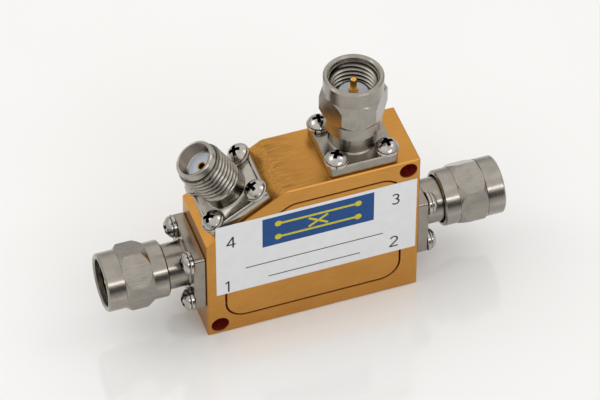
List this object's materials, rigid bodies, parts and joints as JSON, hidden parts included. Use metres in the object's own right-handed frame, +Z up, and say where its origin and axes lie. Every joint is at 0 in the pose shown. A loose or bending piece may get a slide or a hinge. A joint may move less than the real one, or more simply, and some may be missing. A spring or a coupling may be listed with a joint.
{
  "type": "directional coupler",
  "caption": "Directional coupler in a flat milled housing, with in-line coaxial plugs, a plug on top and a threaded jack on a sloped corner, for sampling a signal line.",
  "frame": {"origin": "middle of the housing's bottom face", "axes": "+X from the input to the output port, -Y out of the labelled front, +Z up"},
  "size_m": [0.0564, 0.0105, 0.0374],
  "materials": {
    "gold_aluminium": "gold conversion coat over a brushed milled face",
    "label_film": "satin white film",
    "board_laminate": "bare laminate",
    "plain_aluminium": "milled",
    "copper": "rolled copper",
    "body_steel": "turned and passivated",
    "nut_steel": "turned and passivated",
    "spring_bronze": "drawn spring wire",
    "dielectric": "turned white insulator",
    "contact_gold": "gold plated",
    "screw_steel": "bright passivated"
  },
  "bodies": {
    "coupler": {"housing": "gold_aluminium", "cover": "gold_aluminium", "label": "label_film", "lower_board": "board_laminate", "upper_board": "board_laminate", "pressure_plate": "plain_aluminium", "main_line": "copper", "coupled_line": "copper", "input_plug_body": "body_steel", "output_plug_body": "body_steel", "forward_plug_body": "body_steel", "reverse_jack_body": "body_steel", "input_snap_ring": "spring_bronze", "output_snap_ring": "spring_bronze", "forward_snap_ring": "spring_bronze", "input_dielectric": "dielectric", "output_dielectric": "dielectric", "forward_dielectric": "dielectric", "reverse_dielectric": "dielectric", "input_contact": "contact_gold", "output_contact": "contact_gold", "forward_contact": "contact_gold", "reverse_contact": "contact_gold", "input_screws": "screw_steel", "input_lock_washers": "screw_steel", "output_screws": "screw_steel", "output_lock_washers": "screw_steel", "forward_screws": "screw_steel", "forward_lock_washers": "screw_steel", "reverse_screws": "screw_steel", "reverse_lock_washers": "screw_steel"},
    "input_nut": {"input_coupling_nut": "nut_steel"},
    "output_nut": {"output_coupling_nut": "nut_steel"},
    "forward_nut": {"forward_coupling_nut": "nut_steel"}
  },
  "joints": [
    {"name": "input_nut_spin", "type": "hinge", "parent": "coupler", "child": "input_nut", "pos_m": [-0.01955, 0, 0.0099], "axis": [-1, 0, 0], "continuous": true},
    {"name": "output_nut_spin", "type": "hinge", "parent": "coupler", "child": "output_nut", "pos_m": [0.01955, 0, 0.0099], "axis": [1, 0, 0], "continuous": true},
    {"name": "forward_nut_spin", "type": "hinge", "parent": "coupler", "child": "forward_nut", "pos_m": [0.0072, 0, 0.02874], "axis": [0, 0, 1], "continuous": true}
  ]
}
